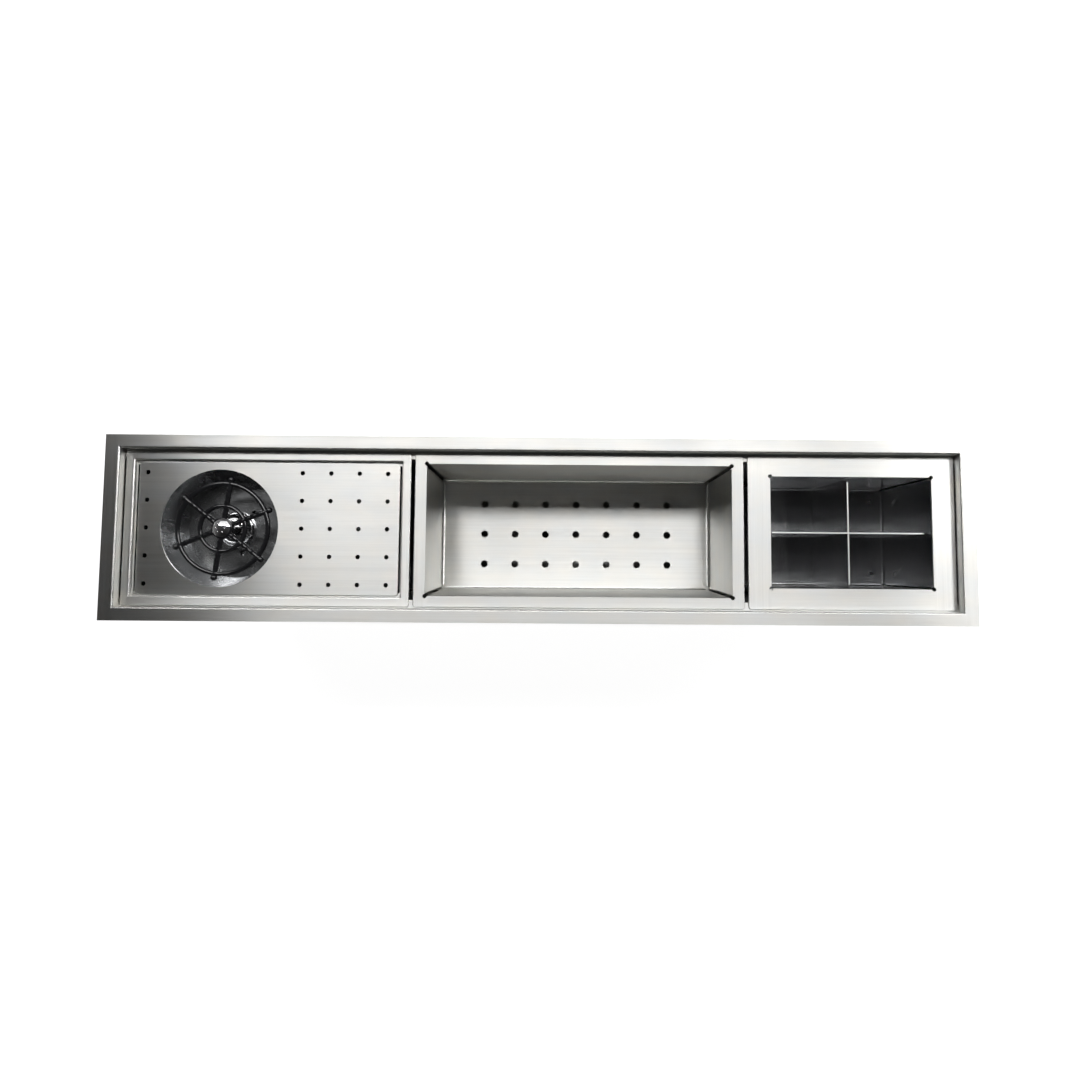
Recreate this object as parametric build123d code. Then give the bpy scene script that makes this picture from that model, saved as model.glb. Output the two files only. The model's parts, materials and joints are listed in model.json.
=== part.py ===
"""Undermount channel sink with three drop-in modules, in millimetres.

The frame has +X along the trough to the right, +Y to the back and +Z up. The origin is the centre of
the flange's top face, which is the plane that meets the underside of the worktop.
"""

import math
import os

from build123d import *

# Trough
trough_length = 752.0
trough_width = 160.0
flange_width = 11.5
end_flange_width = 12.5
trough_sheet = 1.2
trough_depth = 140.0
ledge_drop = 10.0
ledge_width = 7.5
flange_bend = 1.4
ledge_bend = 1.2
floor_bend = 8.0

# Modules on the ledges
module_sheet = 1.2
module_side_gap = 1.0
tray_end_gap = 0.6
box_end_gap = 0.6
module_gap = 3.25
rim_edge_round = 0.8
rim_corner = 2.5
lift_clearance = 0.6

# Rinser tray and drip plate
tray_length = 249.5
tray_rim = 8.0
recess_bend = 1.3
tray_shelf_side = 3.0
tray_shelf_end = 0.8
tray_corner = 2.0
pan_hole_radius = 5.0
pan_hole_pitch = 30.0
plate_sheet = 1.2
plate_recess = 3.0
plate_side_gap = 0.9
plate_end_gap = 2.2
plate_edge_round = 0.8
plate_corner = 3.0
drip_hole_radius = 2.0
drip_pitch_along = 25.0
drip_pitch_across = 24.4
drip_inset_left = 7.7
drip_inset_right = 10.7
drip_edge = 6.8
drip_opening_land = 14.0

# Rinser bowl
rinser_inset = 81.9
opening_land = 6.8
bowl_overlap = 0.8
bowl_lip = 2.8
bowl_lip_gap = 0.4
bowl_depth = 33.4
bowl_taper = 8.3
bowl_sheet = 1.2
bowl_hole_radius = 2.5
bowl_hole_land = 5.0
bowl_hole_count = 3
bowl_hole_start = 45.0
bowl_gasket_height = 2.0

# Rinser valve
shank_radius = 13.5
shank_length = 45.2
shank_hole_gap = 0.3
valve_flange_radius = 17.0
valve_flange_height = 2.5
guide_bore_radius = 8.3
piston_stop_gap = 0.4
seat_height = 3.0
seat_hole_radius = 4.5
inlet_radius = 10.48
inlet_length = 14.0
inlet_bore_radius = 5.5
spring_ledge_height = 9.0
washer_radius = 20.0
tray_washer_height = 2.0
slip_washer_height = 1.2
mounting_nut_across = 36.0
mounting_nut_height = 8.0
thread_gap = 0.1
dome_radius = 15.5
dome_height = 8.0
dome_crown_radius = 7.0
dome_shoulder_out = 0.82
dome_shoulder_up = 0.72
stem_gap = 0.3

# Sprinkler
press_travel = 6.0
star_drop = 5.5
arm_count = 6
arm_angle = 22.0
arm_radius = 2.2
star_gap = 5.0
knob_radius = 2.8
outer_ring_inset = 3.7
outer_ring_wire = 2.1
inner_ring_radius = 20.0
inner_ring_wire = 1.9
hub_radius = 9.5
hub_height = 5.0
hub_round = 1.2
bead_first = 12.25
bead_pitch = 5.5
bead_radius = 1.3
bead_height = 0.6
spray_hole_radius = 0.5
spray_hole_depth = 1.6
cap_radius = 7.7
cap_height = 3.0
cap_rim_height = 0.6
cap_spigot_radius = 3.1
cap_spigot_length = 5.0
cap_hole_radius = 0.5
cap_hole_circle = 4.0
cap_hole_count = 6
stem_radius = 5.5
stem_bore_radius = 3.2
fit_gap = 0.05
piston_length = 14.0
piston_drop = 6.0
seal_section = 1.8
seal_place = 8.0
rod_radius = 2.5
port_radius = 1.4
poppet_margin = 0.1
poppet_height = 3.4
poppet_seal_height = 1.4
poppet_seat_gap = 0.3
spring_margin = 0.1
spring_wire = 0.6
spring_turns = 5
spring_end_gap = 0.3

# Colander basket
colander_rim_end = 10.4
colander_rim_side = 9.8
colander_depth = 80.7
colander_draft_end = 2.4
colander_draft_side = 4.2
colander_fold = 2.5
colander_seam = 3.0
colander_relief_margin = 0.2
colander_hole_radius = 3.4
colander_pitch_along = 30.0
colander_pitch_across = 29.4
colander_land_along = 34.0
colander_land_across = 19.0

# Condiment box
box_length = 181.6
box_rim_end = 20.0
box_rim_side = 18.5
box_depth = 90.0
box_draft_end = 0.8
box_draft_side = 0.6
box_fold = 2.0
box_seam = 1.8
box_relief_margin = 0.1
box_hole_radius = 1.5
box_hole_inset = 13.0

# Divider
divider_sheet = 1.0
divider_drop = 7.0
divider_end_gap = 0.6
divider_floor_gap = 0.3
divider_corner = 5.0
divider_foot_clearance = 0.6
divider_slot_gap = 0.15

# Drain
drain_place = 0.0
drain_recess_radius = 44.0
drain_recess_drop = 3.0
drain_hole_gap = 1.0
drain_body_radius = 30.0
drain_body_wall = 2.0
drain_body_length = 38.0
drain_flange_radius = 41.0
drain_flange_height = 1.5
drain_seal_height = 1.0
drain_washer_radius = 41.0
drain_washer_height = 3.0
friction_ring_height = 1.0
lock_nut_radius = 38.0
lock_nut_height = 10.0
lock_nut_lugs = 6
lug_depth = 3.5
lug_width = 12.0
drain_floor_height = 2.5
neck_radius = 22.0
neck_bore_radius = 18.0
neck_length = 16.0
tailpiece_radius = 19.05
tailpiece_wall = 1.2
tailpiece_length = 60.0
tailpiece_flange_radius = 21.5
tailpiece_flange_height = 2.0
tailpiece_relief = 0.35
tailpiece_washer_height = 2.0
coupling_nut_radius = 27.0
coupling_nut_grip = 10.0
coupling_nut_lip = 3.0
coupling_nut_lugs = 8
coupling_gap = 0.25

# Strainer
strainer_rim_radius = 33.0
strainer_radius = 26.8
strainer_sheet = 1.0
strainer_depth = 25.0
strainer_seat_gap = 0.3
strainer_hole_radius = 1.6
strainer_ring_count = 8
strainer_ring_radius = 9.5
strainer_wall_holes = 16
post_radius = 2.5
knob_neck_radius = 5.0
knob_radius_wide = 7.0
knob_crown_radius = 5.6
knob_height = 6.0
knob_waist = 2.4
knob_socket = 3.0
knob_clearance = 4.0
post_nut_across = 8.0
post_nut_height = 3.0

# Hose grommet in the left end wall
grommet_place = 60.0
grommet_bore_radius = 5.0
grommet_neck_radius = 9.0
grommet_flange_radius = 12.0
grommet_flange_height = 3.0

# Places worked out from the sizes above
past = 5.0
inner_x = trough_length / 2 - end_flange_width
inner_y = trough_width / 2 - flange_width
ledge_y = inner_y - ledge_width
trough_floor = -trough_depth
module_y = inner_y - module_side_gap
rim_top = module_sheet - ledge_drop
tray_x0 = tray_end_gap - inner_x
tray_x1 = tray_x0 + tray_length
box_x1 = inner_x - box_end_gap
box_x0 = box_x1 - box_length
colander_x0 = tray_x1 + module_gap
colander_x1 = box_x0 - module_gap
rinser_x = tray_x0 + rinser_inset
recess_x0 = tray_x0 + tray_rim
recess_x1 = tray_x1 - tray_rim
recess_y = ledge_y - lift_clearance - module_sheet
shelf_top = rim_top - plate_recess - plate_sheet
pan_x0 = recess_x0 + tray_shelf_end
pan_x1 = recess_x1 - tray_shelf_end
pan_y = recess_y - tray_shelf_side
plate_x0 = recess_x0 + plate_end_gap
plate_x1 = recess_x1 - plate_end_gap
plate_y = recess_y - plate_side_gap
rinser_opening_radius = plate_y - opening_land
bowl_top_radius = rinser_opening_radius + bowl_overlap
bowl_floor_radius = bowl_top_radius - bowl_taper
bowl_hole_circle = valve_flange_radius + bowl_hole_land
bowl_top = shelf_top - bowl_lip_gap
bowl_floor = bowl_top - bowl_depth
pan_floor = bowl_floor - bowl_sheet - bowl_gasket_height
valve_top = bowl_floor + valve_flange_height
seat_top = valve_top - piston_drop - piston_length - press_travel - piston_stop_gap
seat_bottom = seat_top - seat_height
shank_end = bowl_floor - shank_length
inlet_end = shank_end - inlet_length
spring_ledge = inlet_end + spring_ledge_height
spring_radius = inlet_bore_radius + spring_margin + spring_wire
poppet_radius = spring_radius + spring_wire + poppet_margin
star_level = shelf_top - star_drop
arm_reach = rinser_opening_radius - star_gap - knob_radius
outer_ring_radius = arm_reach - outer_ring_inset
hub_top = star_level + hub_height / 2
hub_bottom = star_level - hub_height / 2
piston_top = valve_top - piston_drop
piston_bottom = piston_top - piston_length
seal_radius = guide_bore_radius - fit_gap
poppet_top = seat_bottom - poppet_seat_gap
poppet_bottom = poppet_top - poppet_seal_height - poppet_height
recess_floor = trough_floor - drain_recess_drop
drain_flange_bottom = recess_floor + drain_seal_height
drain_flange_top = drain_flange_bottom + drain_flange_height
drain_cup_bottom = drain_flange_bottom - drain_body_length
neck_bottom = drain_cup_bottom - neck_length
tailpiece_top = neck_bottom - tailpiece_washer_height
tailpiece_bottom = tailpiece_top - tailpiece_flange_height - tailpiece_length
strainer_rim_bottom = drain_flange_top + strainer_seat_gap
strainer_floor = strainer_rim_bottom - strainer_depth
knob_bottom = strainer_rim_bottom + knob_clearance


def slab(x0, x1, y0, y1, z0, z1):
    """A block between two corners."""
    return Pos((x0 + x1) / 2, (y0 + y1) / 2, (z0 + z1) / 2) * Box(x1 - x0, y1 - y0, z1 - z0)


def drum(radius, z0, z1, x=0.0, y=0.0):
    """An upright cylinder from z0 to z1."""
    return Pos(x, y, (z0 + z1) / 2) * Cylinder(radius, z1 - z0)


def ring(outer, inner, z0, z1, x=0.0, y=0.0):
    """An upright ring from z0 to z1."""
    return drum(outer, z0, z1, x, y) - drum(inner, z0 - past, z1 + past, x, y)


def turned(points, x=0.0, y=0.0):
    """A solid turned about an upright axis from (radius, height) points."""
    outline = make_face(Polyline(*points, close=True))
    return Pos(x, y, 0) * revolve(Plane.XZ * outline, Axis.Z)


def around(count, start=0.0):
    """Evenly spaced angles in degrees."""
    return [start + 360.0 * k / count for k in range(count)]


def polar(radius, angle):
    """The x and y of a point at a radius and an angle in degrees."""
    return radius * math.cos(math.radians(angle)), radius * math.sin(math.radians(angle))


def spread(count, pitch):
    """Evenly spaced offsets about zero."""
    return [(k - (count - 1) / 2) * pitch for k in range(count)]


def copies_that_fit(length, pitch):
    """How many points a pitch apart fit in a length."""
    return max(1, int(length / pitch + 1e-6) + 1)


def holes(places, radius, z0, z1):
    """Upright round holes at (x, y) places."""
    return [drum(radius, z0, z1, x, y) for x, y in places]


def dome_arc(radius, low, high):
    """The arc of a shallow dome from its rim up to its top on the axis, in (radius, height)."""
    rise = high - low
    sphere = (radius**2 + rise**2) / (2 * rise)
    half = math.asin(radius / sphere) / 2
    middle = (sphere * math.sin(half), high - sphere + sphere * math.cos(half))
    return ThreePointArc((radius, low), middle, (0, high))


def edges_along(part, axis, where):
    """The part's straight edges along an axis whose middle meets a test."""
    return [e for e in part.edges().filter_by(axis) if where(e.center())]


def near(a, b):
    """Whether two places are the same."""
    return abs(a - b) < 1e-4


def trough_shell():
    """The whole trough as one sheet: flange, ledges, walls, floor and the stamped drain recess."""
    out_x = inner_x + trough_sheet
    flange = slab(
        -trough_length / 2, trough_length / 2, -trough_width / 2, trough_width / 2, -trough_sheet, 0
    )
    upper = slab(
        -out_x, out_x, -inner_y - trough_sheet, inner_y + trough_sheet, -ledge_drop - trough_sheet, 0
    )
    lower = slab(
        -out_x, out_x, -ledge_y - trough_sheet, ledge_y + trough_sheet, trough_floor - trough_sheet, 0
    )
    bends = edges_along(lower, Axis.X, lambda c: near(c.Z, trough_floor - trough_sheet))
    lower = fillet(bends, floor_bend + trough_sheet)
    dish = drum(
        drain_recess_radius + trough_sheet, recess_floor - trough_sheet, trough_floor, drain_place
    )
    mouth = slab(-inner_x, inner_x, -inner_y, inner_y, -ledge_drop, past)
    well = slab(-inner_x, inner_x, -ledge_y, ledge_y, trough_floor, past)
    well = fillet(edges_along(well, Axis.X, lambda c: near(c.Z, trough_floor)), floor_bend)
    recess = drum(drain_recess_radius, recess_floor, trough_floor + past, drain_place)
    hole = drum(
        drain_body_radius + drain_hole_gap, recess_floor - 2 * past, trough_floor, drain_place
    )
    shell = flange + upper + lower + dish - mouth - well - recess - hole
    lips = [
        e
        for e in shell.edges()
        if near(e.center().Z, 0)
        and abs(e.center().X) < inner_x + past / 2
        and abs(e.center().Y) < inner_y + past / 2
    ]
    shell = fillet(lips, flange_bend)
    ledges = edges_along(
        shell, Axis.X, lambda c: near(c.Z, -ledge_drop) and near(abs(c.Y), ledge_y)
    )
    return fillet(ledges, ledge_bend)


def end_region(side):
    """The space of one end wall: past the channel's end, with its flange cut at 45 degrees."""
    reach = end_flange_width + past
    low = slab(
        inner_x, inner_x + reach, -trough_width, trough_width, trough_floor - 2 * past, -trough_sheet
    )
    mitre = Polyline(
        (inner_x, -inner_y),
        (inner_x, inner_y),
        (inner_x + reach, inner_y + reach),
        (inner_x + reach, -inner_y - reach),
        close=True,
    )
    high = Pos(0, 0, -trough_sheet) * extrude(make_face(mitre), trough_sheet + past)
    region = low + high
    return region if side > 0 else mirror(region, Plane.YZ)


def grommet_hole(radius, x0, x1):
    """A hole through the left end wall on the grommet's axis."""
    return Pos((x0 + x1) / 2, 0, -grommet_place) * Rot(0, 90, 0) * Cylinder(radius, x1 - x0)


def channel_parts():
    """The folded channel and its two end walls."""
    shell = trough_shell()
    left = shell & end_region(-1)
    wall = -inner_x - trough_sheet
    left -= grommet_hole(grommet_neck_radius, wall - past, -inner_x + past)
    return {
        "channel_body": shell - end_region(-1) - end_region(1),
        "end_wall_left": left,
        "end_wall_right": shell & end_region(1),
    }


def hose_grommet():
    """The rubber grommet that lines the hose hole, with a flange on each side of the wall."""
    wall_out = -inner_x - trough_sheet
    inside = grommet_hole(grommet_flange_radius, -inner_x, -inner_x + grommet_flange_height)
    outside = grommet_hole(grommet_flange_radius, wall_out - grommet_flange_height, wall_out)
    neck = grommet_hole(grommet_neck_radius, wall_out, -inner_x)
    bore = grommet_hole(grommet_bore_radius, wall_out - 2 * past, -inner_x + 2 * past)
    return inside + outside + neck - bore


def drain_body():
    """The drain's cup with its flange above and its threaded neck below."""
    inner = drain_body_radius - drain_body_wall
    bottom = drain_cup_bottom - drain_floor_height
    return turned(
        [
            (inner, drain_flange_top),
            (drain_flange_radius, drain_flange_top),
            (drain_flange_radius, drain_flange_bottom),
            (drain_body_radius, drain_flange_bottom),
            (drain_body_radius, bottom),
            (neck_radius, bottom),
            (neck_radius, neck_bottom),
            (neck_bore_radius, neck_bottom),
            (neck_bore_radius, drain_cup_bottom),
            (inner, drain_cup_bottom),
        ],
        drain_place,
    )


def lugged_nut(outer, bore, z0, z1, lugs, x):
    """A round hand nut with grip lugs."""
    nut = ring(outer - lug_depth, bore, z0, z1, x)
    width = min(lug_width, 2 * math.pi * outer / lugs / 2)
    lug_length = outer - bore - lug_depth / 2
    for angle in around(lugs):
        lug = Pos(outer - lug_length / 2, 0, (z0 + z1) / 2) * Box(lug_length, width, z1 - z0)
        nut += Pos(x, 0, 0) * (Rot(0, 0, angle) * lug)
    return nut & drum(outer, z0, z1, x)


def drain_parts():
    """The drain's body, seals, nuts and tailpiece, stacked on the trough's floor."""
    floor_under = recess_floor - trough_sheet
    washer_bottom = floor_under - drain_washer_height
    friction_bottom = washer_bottom - friction_ring_height
    bore = drain_body_radius + thread_gap
    nut_top = tailpiece_top - tailpiece_flange_height
    tube_top = nut_top - coupling_nut_lip - coupling_gap
    lip_bore = tailpiece_radius + coupling_gap
    tail = turned(
        [
            (tailpiece_radius - tailpiece_wall, tailpiece_top),
            (tailpiece_flange_radius, tailpiece_top),
            (tailpiece_flange_radius, nut_top),
            (tailpiece_radius - tailpiece_relief, nut_top),
            (tailpiece_radius - tailpiece_relief, tube_top),
            (tailpiece_radius, tube_top),
            (tailpiece_radius, tailpiece_bottom),
            (tailpiece_radius - tailpiece_wall, tailpiece_bottom),
        ],
        drain_place,
    )
    nut = lugged_nut(
        coupling_nut_radius,
        lip_bore,
        nut_top - coupling_nut_lip,
        neck_bottom + coupling_nut_grip,
        coupling_nut_lugs,
        drain_place,
    )
    nut -= drum(neck_radius + thread_gap, nut_top, neck_bottom + 2 * past, drain_place)
    return {
        "drain_body": drain_body(),
        "drain_top_seal": ring(
            drain_flange_radius, bore, recess_floor, drain_flange_bottom, drain_place
        ),
        "drain_rubber_washer": ring(
            drain_washer_radius, bore, washer_bottom, floor_under, drain_place
        ),
        "drain_friction_ring": ring(
            drain_washer_radius, bore, friction_bottom, washer_bottom, drain_place
        ),
        "drain_lock_nut": lugged_nut(
            lock_nut_radius,
            bore,
            friction_bottom - lock_nut_height,
            friction_bottom,
            lock_nut_lugs,
            drain_place,
        ),
        "tailpiece": tail,
        "tailpiece_washer": ring(
            tailpiece_flange_radius, neck_bore_radius, tailpiece_top, neck_bottom, drain_place
        ),
        "coupling_nut": nut,
    }


def strainer_basket():
    """The perforated cup that catches scraps, hung by its rim on the drain's flange."""
    inner = strainer_radius - strainer_sheet
    rim_top_z = strainer_rim_bottom + strainer_sheet
    basket = turned(
        [
            (post_radius, strainer_floor),
            (strainer_radius, strainer_floor),
            (strainer_radius, strainer_rim_bottom),
            (strainer_rim_radius, strainer_rim_bottom),
            (strainer_rim_radius, rim_top_z),
            (inner, rim_top_z),
            (inner, strainer_floor + strainer_sheet),
            (post_radius, strainer_floor + strainer_sheet),
        ],
        drain_place,
    )
    places = []
    for ring_number in (1, 2):
        for angle in around(strainer_ring_count * ring_number):
            x, y = polar(strainer_ring_radius * ring_number, angle)
            places.append((drain_place + x, y))
    basket -= holes(places, strainer_hole_radius, strainer_floor - past, strainer_floor + past)
    middle = (strainer_floor + strainer_rim_bottom) / 2
    slot_height = strainer_depth / 2
    for angle in around(strainer_wall_holes):
        slot = Pos(strainer_radius, 0, middle) * Box(past, 2 * strainer_hole_radius, slot_height)
        basket -= Pos(drain_place, 0, 0) * (Rot(0, 0, angle) * slot)
    return basket


def strainer_parts():
    """The strainer's basket, centre post, pull knob and the nut under its floor."""
    nut_bottom = strainer_floor - post_nut_height
    post = drum(post_radius - fit_gap, nut_bottom, knob_bottom + knob_socket, drain_place)
    hexagon = RegularPolygon(post_nut_across / 2, 6, major_radius=False)
    nut = Pos(drain_place, 0, nut_bottom) * extrude(hexagon, post_nut_height)
    knob = turned(
        [
            (post_radius, knob_bottom),
            (knob_neck_radius, knob_bottom),
            (knob_radius_wide, knob_bottom + knob_waist),
            (knob_crown_radius, knob_bottom + knob_height),
            (0, knob_bottom + knob_height),
            (0, knob_bottom + knob_socket),
            (post_radius, knob_bottom + knob_socket),
        ],
        drain_place,
    )
    return {
        "strainer_basket": strainer_basket(),
        "strainer_post": post,
        "strainer_knob": knob,
        "strainer_nut": nut - drum(post_radius, nut_bottom - past, strainer_floor, drain_place),
    }


def rim_plate(x0, x1):
    """A module's flat rim before its opening is cut, with rounded corners."""
    plate = slab(x0, x1, -module_y, module_y, rim_top - module_sheet, rim_top)
    return fillet(plate.edges().filter_by(Axis.Z), rim_corner)


def rinser_tray():
    """The tray: a rim on the ledges, a recess for the drip plate and a pan under it."""
    step_bottom = shelf_top - module_sheet
    sheet = module_sheet
    tray = rim_plate(tray_x0, tray_x1)
    tray += slab(
        recess_x0 - sheet, recess_x1 + sheet, -recess_y - sheet, recess_y + sheet, step_bottom, rim_top
    )
    pan_out = slab(
        pan_x0 - sheet, pan_x1 + sheet, -pan_y - sheet, pan_y + sheet, pan_floor - sheet, rim_top
    )
    pan_out = fillet(pan_out.edges().filter_by(Axis.Z), tray_corner + sheet)
    pan_in = slab(pan_x0, pan_x1, -pan_y, pan_y, pan_floor, rim_top + past)
    pan_in = fillet(pan_in.edges().filter_by(Axis.Z), tray_corner)
    tray = tray + pan_out - pan_in
    tray -= slab(recess_x0, recess_x1, -recess_y, recess_y, shelf_top, rim_top + past)
    low, high = pan_floor - 2 * past, pan_floor + past
    tray -= drum(shank_radius + shank_hole_gap, low, high, rinser_x)
    first = rinser_x + rinser_opening_radius + drip_opening_land
    across = copies_that_fit(2 * (pan_y - pan_hole_pitch / 2), pan_hole_pitch)
    along = copies_that_fit(pan_x1 - first - pan_hole_pitch / 2, pan_hole_pitch)
    places = [
        (first + k * pan_hole_pitch, y)
        for k in range(along)
        for y in spread(across, pan_hole_pitch)
    ]
    tray -= holes(places, pan_hole_radius, low, high)
    outer_edges = [
        e
        for e in tray.edges()
        if near(e.center().Z, rim_top)
        and (
            near(abs(e.center().Y), module_y)
            or near(e.center().X, tray_x0)
            or near(e.center().X, tray_x1)
        )
    ]
    tray = fillet(outer_edges, min(rim_edge_round, 0.8 * module_sheet))
    recess_edges = [
        e
        for e in tray.edges()
        if near(e.center().Z, rim_top)
        and (
            near(abs(e.center().Y), recess_y)
            or near(e.center().X, recess_x0)
            or near(e.center().X, recess_x1)
        )
    ]
    return fillet(recess_edges, recess_bend)


def drip_hole_places():
    """Where the drip plate's holes are: a column left of the opening and a block right of it."""
    left = plate_x0 + drip_inset_left
    right = plate_x1 - drip_inset_right
    first = rinser_x + rinser_opening_radius + drip_opening_land
    columns = copies_that_fit(right - first, drip_pitch_along)
    usable = 2 * (plate_y - drip_edge)
    rows = spread(copies_that_fit(usable, drip_pitch_across), drip_pitch_across)
    return [
        (x, y)
        for x in [left] + [right - k * drip_pitch_along for k in range(columns)]
        for y in rows
    ]


def drip_plate():
    """The perforated plate that lies in the tray's recess, with the round rinser opening."""
    top = shelf_top + plate_sheet
    plate = slab(plate_x0, plate_x1, -plate_y, plate_y, shelf_top, top)
    plate = fillet(plate.edges().filter_by(Axis.Z), plate_corner)
    rim = [e for e in plate.edges() if near(e.center().Z, top)]
    plate = fillet(rim, min(plate_edge_round, 0.8 * plate_sheet))
    low, high = shelf_top - past, top + past
    plate -= drum(rinser_opening_radius, low, high, rinser_x)
    return plate - holes(drip_hole_places(), drip_hole_radius, low, high)


def rinser_bowl():
    """The polished bowl under the opening, with a lip at the top and drain holes in its floor."""
    lip_radius = bowl_top_radius + bowl_lip
    bowl = turned(
        [
            (shank_radius + shank_hole_gap, bowl_floor),
            (bowl_floor_radius, bowl_floor),
            (bowl_top_radius, bowl_top),
            (lip_radius, bowl_top),
            (lip_radius, bowl_top - bowl_sheet),
            (bowl_top_radius + bowl_sheet, bowl_top - bowl_sheet),
            (bowl_floor_radius + bowl_sheet, bowl_floor - bowl_sheet),
            (shank_radius + shank_hole_gap, bowl_floor - bowl_sheet),
        ],
        rinser_x,
    )
    places = []
    for angle in around(bowl_hole_count, bowl_hole_start):
        x, y = polar(bowl_hole_circle, angle)
        places.append((rinser_x + x, y))
    return bowl - holes(places, bowl_hole_radius, bowl_floor - past, bowl_floor + past)


def valve_body():
    """The rinser's valve: flange in the bowl, threaded shank, valve seat and inlet spigot."""
    return turned(
        [
            (guide_bore_radius, valve_top),
            (valve_flange_radius, valve_top),
            (valve_flange_radius, bowl_floor),
            (shank_radius, bowl_floor),
            (shank_radius, shank_end),
            (inlet_radius, shank_end),
            (inlet_radius, inlet_end),
            (inlet_bore_radius, inlet_end),
            (inlet_bore_radius, spring_ledge),
            (guide_bore_radius, spring_ledge),
            (guide_bore_radius, seat_bottom),
            (seat_hole_radius, seat_bottom),
            (seat_hole_radius, seat_top),
            (guide_bore_radius, seat_top),
        ],
        rinser_x,
    )


def guide_dome():
    """The chrome dome that closes the valve and guides the sprinkler's stem."""
    bore = stem_radius + stem_gap
    crown = valve_top + dome_height
    shoulder = (dome_radius * dome_shoulder_out, valve_top + dome_height * dome_shoulder_up)
    outline = make_face(
        [
            Line((bore, valve_top), (dome_radius, valve_top)),
            ThreePointArc((dome_radius, valve_top), shoulder, (dome_crown_radius, crown)),
            Line((dome_crown_radius, crown), (bore, crown)),
            Line((bore, crown), (bore, valve_top)),
        ]
    )
    return Pos(rinser_x, 0, 0) * revolve(Plane.XZ * outline, Axis.Z)


def mounting_nut():
    """The hexagon nut that clamps the valve to the tray."""
    top = pan_floor - module_sheet - tray_washer_height - slip_washer_height
    hexagon = RegularPolygon(mounting_nut_across / 2, 6, major_radius=False)
    nut = Pos(rinser_x, 0, top - mounting_nut_height) * extrude(hexagon, mounting_nut_height)
    return nut - drum(shank_radius + thread_gap, top - 4 * past, top + past, rinser_x)


def helix_point(turn, bottom, pitch):
    """A point of the spring's centre line, and its direction, after so many turns."""
    angle = 2 * math.pi * turn
    x, y = spring_radius * math.cos(angle), spring_radius * math.sin(angle)
    place = Vector(x, y, bottom + pitch * turn)
    along = Vector(-y, x, pitch / (2 * math.pi)).normalized()
    return place, along


def biarc(start, start_way, end, end_way):
    """Two arcs joined smoothly, from one point and direction to another."""
    chord = end - start
    ways = start_way + end_way
    a = 2 * (1 - start_way.dot(end_way))
    b = 2 * chord.dot(ways)
    c = -chord.dot(chord)
    reach = (-b + math.sqrt(b * b - 4 * a * c)) / (2 * a)
    joint = (start + start_way * reach + end - end_way * reach) * 0.5
    first = TangentArc(start, joint, tangent=start_way)
    second = TangentArc(joint, end, tangent=-end_way, tangent_from_first=False)
    return [first, second]


def return_spring():
    """The coil spring that lifts the poppet, one unbroken wire."""
    bottom = spring_ledge + spring_end_gap + spring_wire
    top = poppet_bottom - spring_end_gap - spring_wire
    pitch = (top - bottom) / spring_turns
    print("spring gap between turns", round(pitch - 2 * spring_wire, 2))
    arcs = []
    halves = 2 * spring_turns
    for k in range(halves):
        start, start_way = helix_point(k / 2, bottom, pitch)
        end, end_way = helix_point((k + 1) / 2, bottom, pitch)
        arcs += biarc(start, start_way, end, end_way)
    start, start_way = helix_point(0, bottom, pitch)
    section = Plane(origin=start, z_dir=start_way) * Circle(spring_wire)
    return Pos(rinser_x, 0, 0) * sweep(section, path=Wire(arcs))


def valve_parts():
    """What fixes the rinser's valve to the bowl and the tray."""
    under = pan_floor - module_sheet
    washer_bottom = under - tray_washer_height
    bore = shank_radius + thread_gap
    gasket_bottom, gasket_top = pan_floor, pan_floor + bowl_gasket_height
    slip_bottom = washer_bottom - slip_washer_height
    return {
        "valve_body": valve_body(),
        "guide_dome": guide_dome(),
        "bowl_gasket": ring(washer_radius, bore, gasket_bottom, gasket_top, rinser_x),
        "tray_washer": ring(washer_radius, bore, washer_bottom, under, rinser_x),
        "slip_washer": ring(washer_radius, bore, slip_bottom, washer_bottom, rinser_x),
        "mounting_nut": mounting_nut(),
        "return_spring": return_spring(),
    }


def rinser_star():
    """The black star that a glass is pressed on: a hub, six arms with spray beads, and two rings."""
    star = drum(hub_radius, hub_bottom, hub_top)
    star = fillet(star.edges(), hub_round)
    star += Pos(0, 0, star_level) * Torus(outer_ring_radius, outer_ring_wire)
    star += Pos(0, 0, star_level) * Torus(inner_ring_radius, inner_ring_wire)
    bead_top = star_level + arm_radius + bead_height
    bead_room = outer_ring_radius - outer_ring_wire - bead_radius - bead_first
    beads = [bead_first + k * bead_pitch for k in range(copies_that_fit(bead_room, bead_pitch))]
    for angle in around(arm_count, arm_angle):
        arm = Pos(arm_reach / 2, 0, star_level) * Rot(0, 90, 0) * Cylinder(arm_radius, arm_reach)
        arm += Pos(arm_reach, 0, star_level) * Sphere(knob_radius)
        for reach in beads:
            arm += drum(bead_radius, star_level, bead_top, reach)
        star += Rot(0, 0, angle) * arm
    for angle in around(arm_count, arm_angle):
        for reach in beads:
            x, y = polar(reach, angle)
            star -= drum(spray_hole_radius, bead_top - spray_hole_depth, bead_top + past, x, y)
    star -= drum(stem_radius + fit_gap, hub_bottom - past, hub_top + past)
    return Pos(rinser_x, 0, 0) * star


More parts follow.
